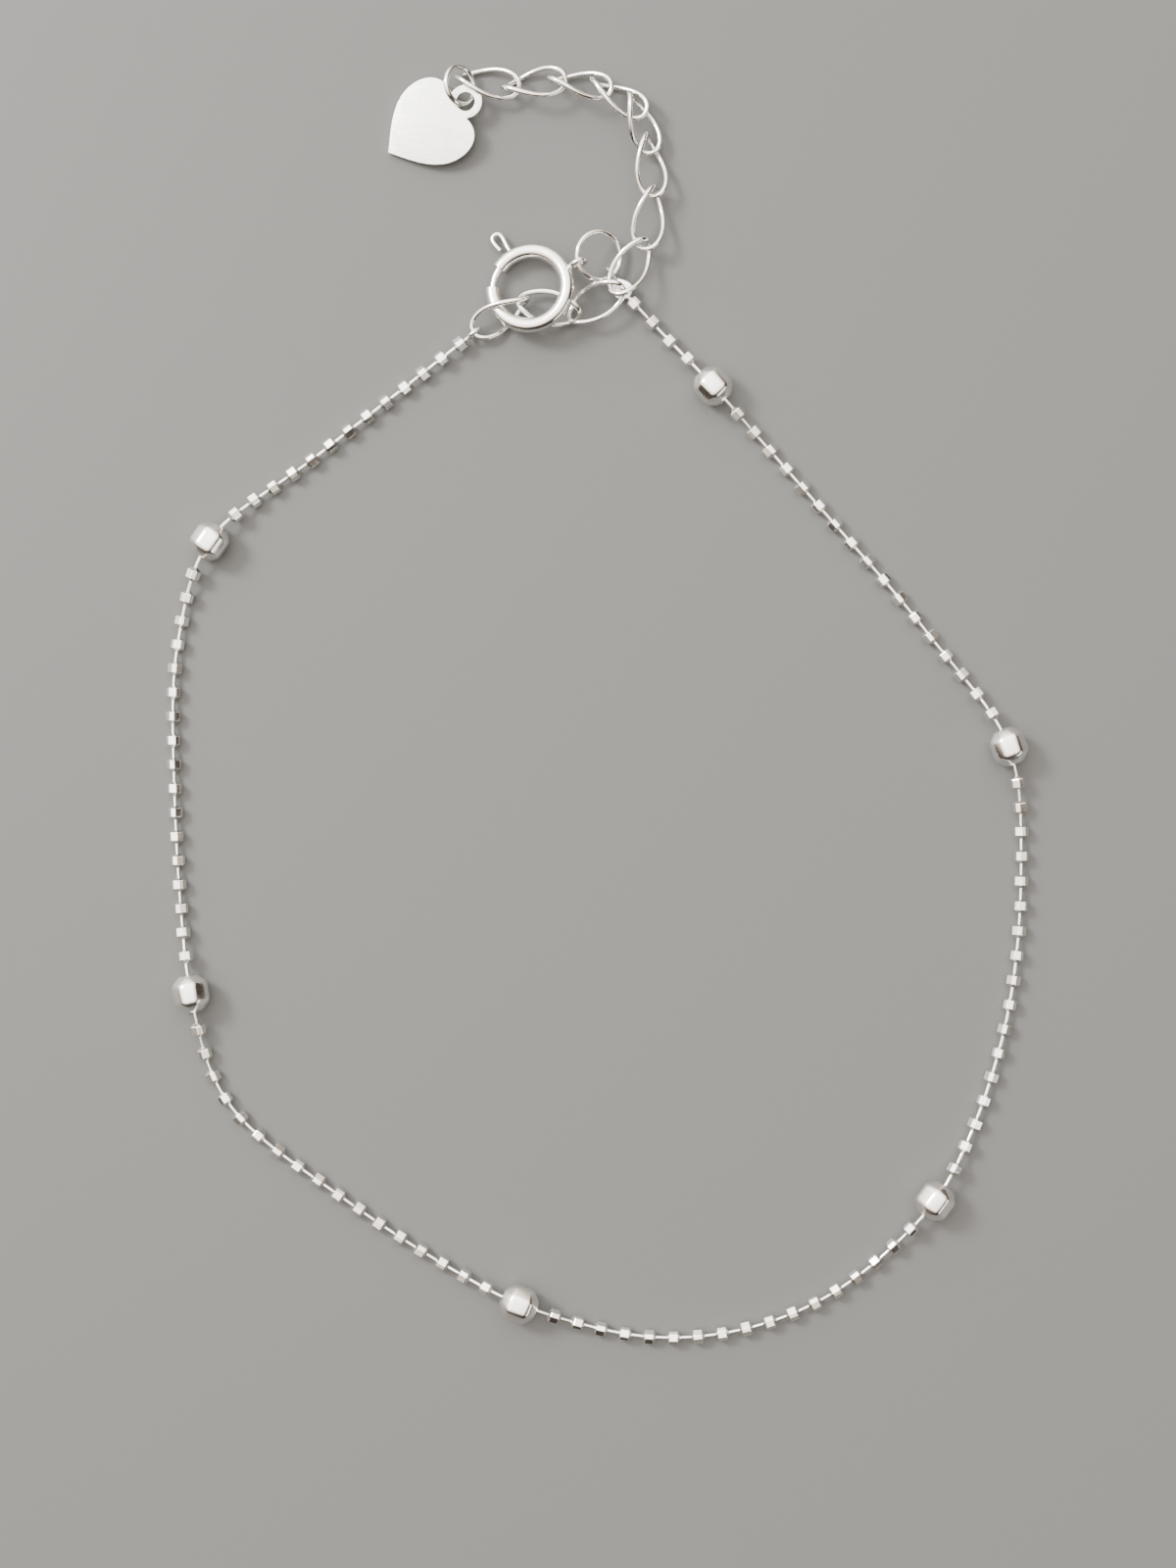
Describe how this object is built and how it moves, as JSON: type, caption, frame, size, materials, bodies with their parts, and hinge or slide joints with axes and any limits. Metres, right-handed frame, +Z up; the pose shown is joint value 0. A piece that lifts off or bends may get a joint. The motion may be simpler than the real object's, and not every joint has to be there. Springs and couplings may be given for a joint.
{
  "type": "bead chain bracelet",
  "caption": "Lying silver bracelet of fine bead chain with larger cut stations, a spring ring clasp, an open link extender and a plain heart tag.",
  "frame": {"origin": "on the supporting surface, at the middle of the bracelet's box seen from above", "axes": "+Z up from the surface, +Y from the low curve of the chain towards the clasp and the heart tag, +X to the right as pictured"},
  "size_m": [0.0528, 0.0782, 0.0024],
  "materials": {
    "silver": "polished sterling silver"
  },
  "bodies": {
    "bracelet": {"bead_chain_left": "silver", "bead_chain_right": "silver", "station_bead_1": "silver", "station_bead_2": "silver", "station_bead_3": "silver", "station_bead_4": "silver", "station_bead_5": "silver", "station_bead_6": "silver", "extender_link_1": "silver", "extender_link_2": "silver", "extender_link_3": "silver", "extender_link_4": "silver", "extender_link_5": "silver", "extender_link_6": "silver", "extender_link_7": "silver", "extender_link_8": "silver", "extender_link_9": "silver", "extender_link_10": "silver", "extender_link_11": "silver", "clasp_ring": "silver", "clasp_jump_ring": "silver", "heart_tag": "silver", "tag_ring": "silver"},
    "gate": {"clasp_gate": "silver"}
  },
  "joints": [
    {"name": "gate_slide_around", "type": "hinge", "parent": "bracelet", "child": "gate", "pos_m": [-0.00396, 0.02541, 0.00128], "axis": [0.2134, -0.1164, -0.97], "range_deg": [0, 38], "stiffness_Nm_per_rad": 0.0003, "springref_deg": -17.19}
  ]
}
